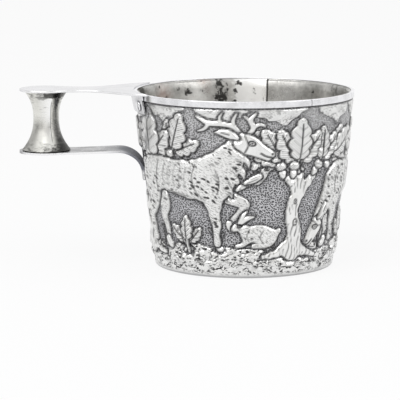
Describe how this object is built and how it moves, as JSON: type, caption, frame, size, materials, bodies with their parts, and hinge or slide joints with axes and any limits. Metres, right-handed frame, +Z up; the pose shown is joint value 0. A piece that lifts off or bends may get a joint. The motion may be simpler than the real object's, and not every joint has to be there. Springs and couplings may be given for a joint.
{
  "type": "spool-handled drinking cup",
  "caption": "Tapered metal drinking cup with a plain liner, a bound rim and a side handle of two plates joined by a hollow spool; for drinking or display.",
  "frame": {"origin": "middle of the flat base, on the surface that the cup stands on", "axes": "+Z up along the cup's axis, the handle towards -X, +Y away from the viewer"},
  "size_m": [0.163, 0.107, 0.086],
  "materials": {
    "shell_silver": "silver with raised parts polished and a darkened matted ground",
    "liner_silver": "plain silver, polished and slightly tarnished",
    "band_silver": "plain polished silver",
    "handle_silver": "polished silver with fine handling marks",
    "spool_silver": "polished silver, darkened where it meets the plates"
  },
  "bodies": {
    "root": {"outer_shell": "shell_silver", "inner_liner": "liner_silver", "rim_band": "band_silver", "handle_top_plate": "handle_silver", "handle_lower_plate": "handle_silver", "handle_spool": "spool_silver", "rivet_front": "handle_silver", "rivet_rear": "handle_silver"}
  },
  "joints": []
}
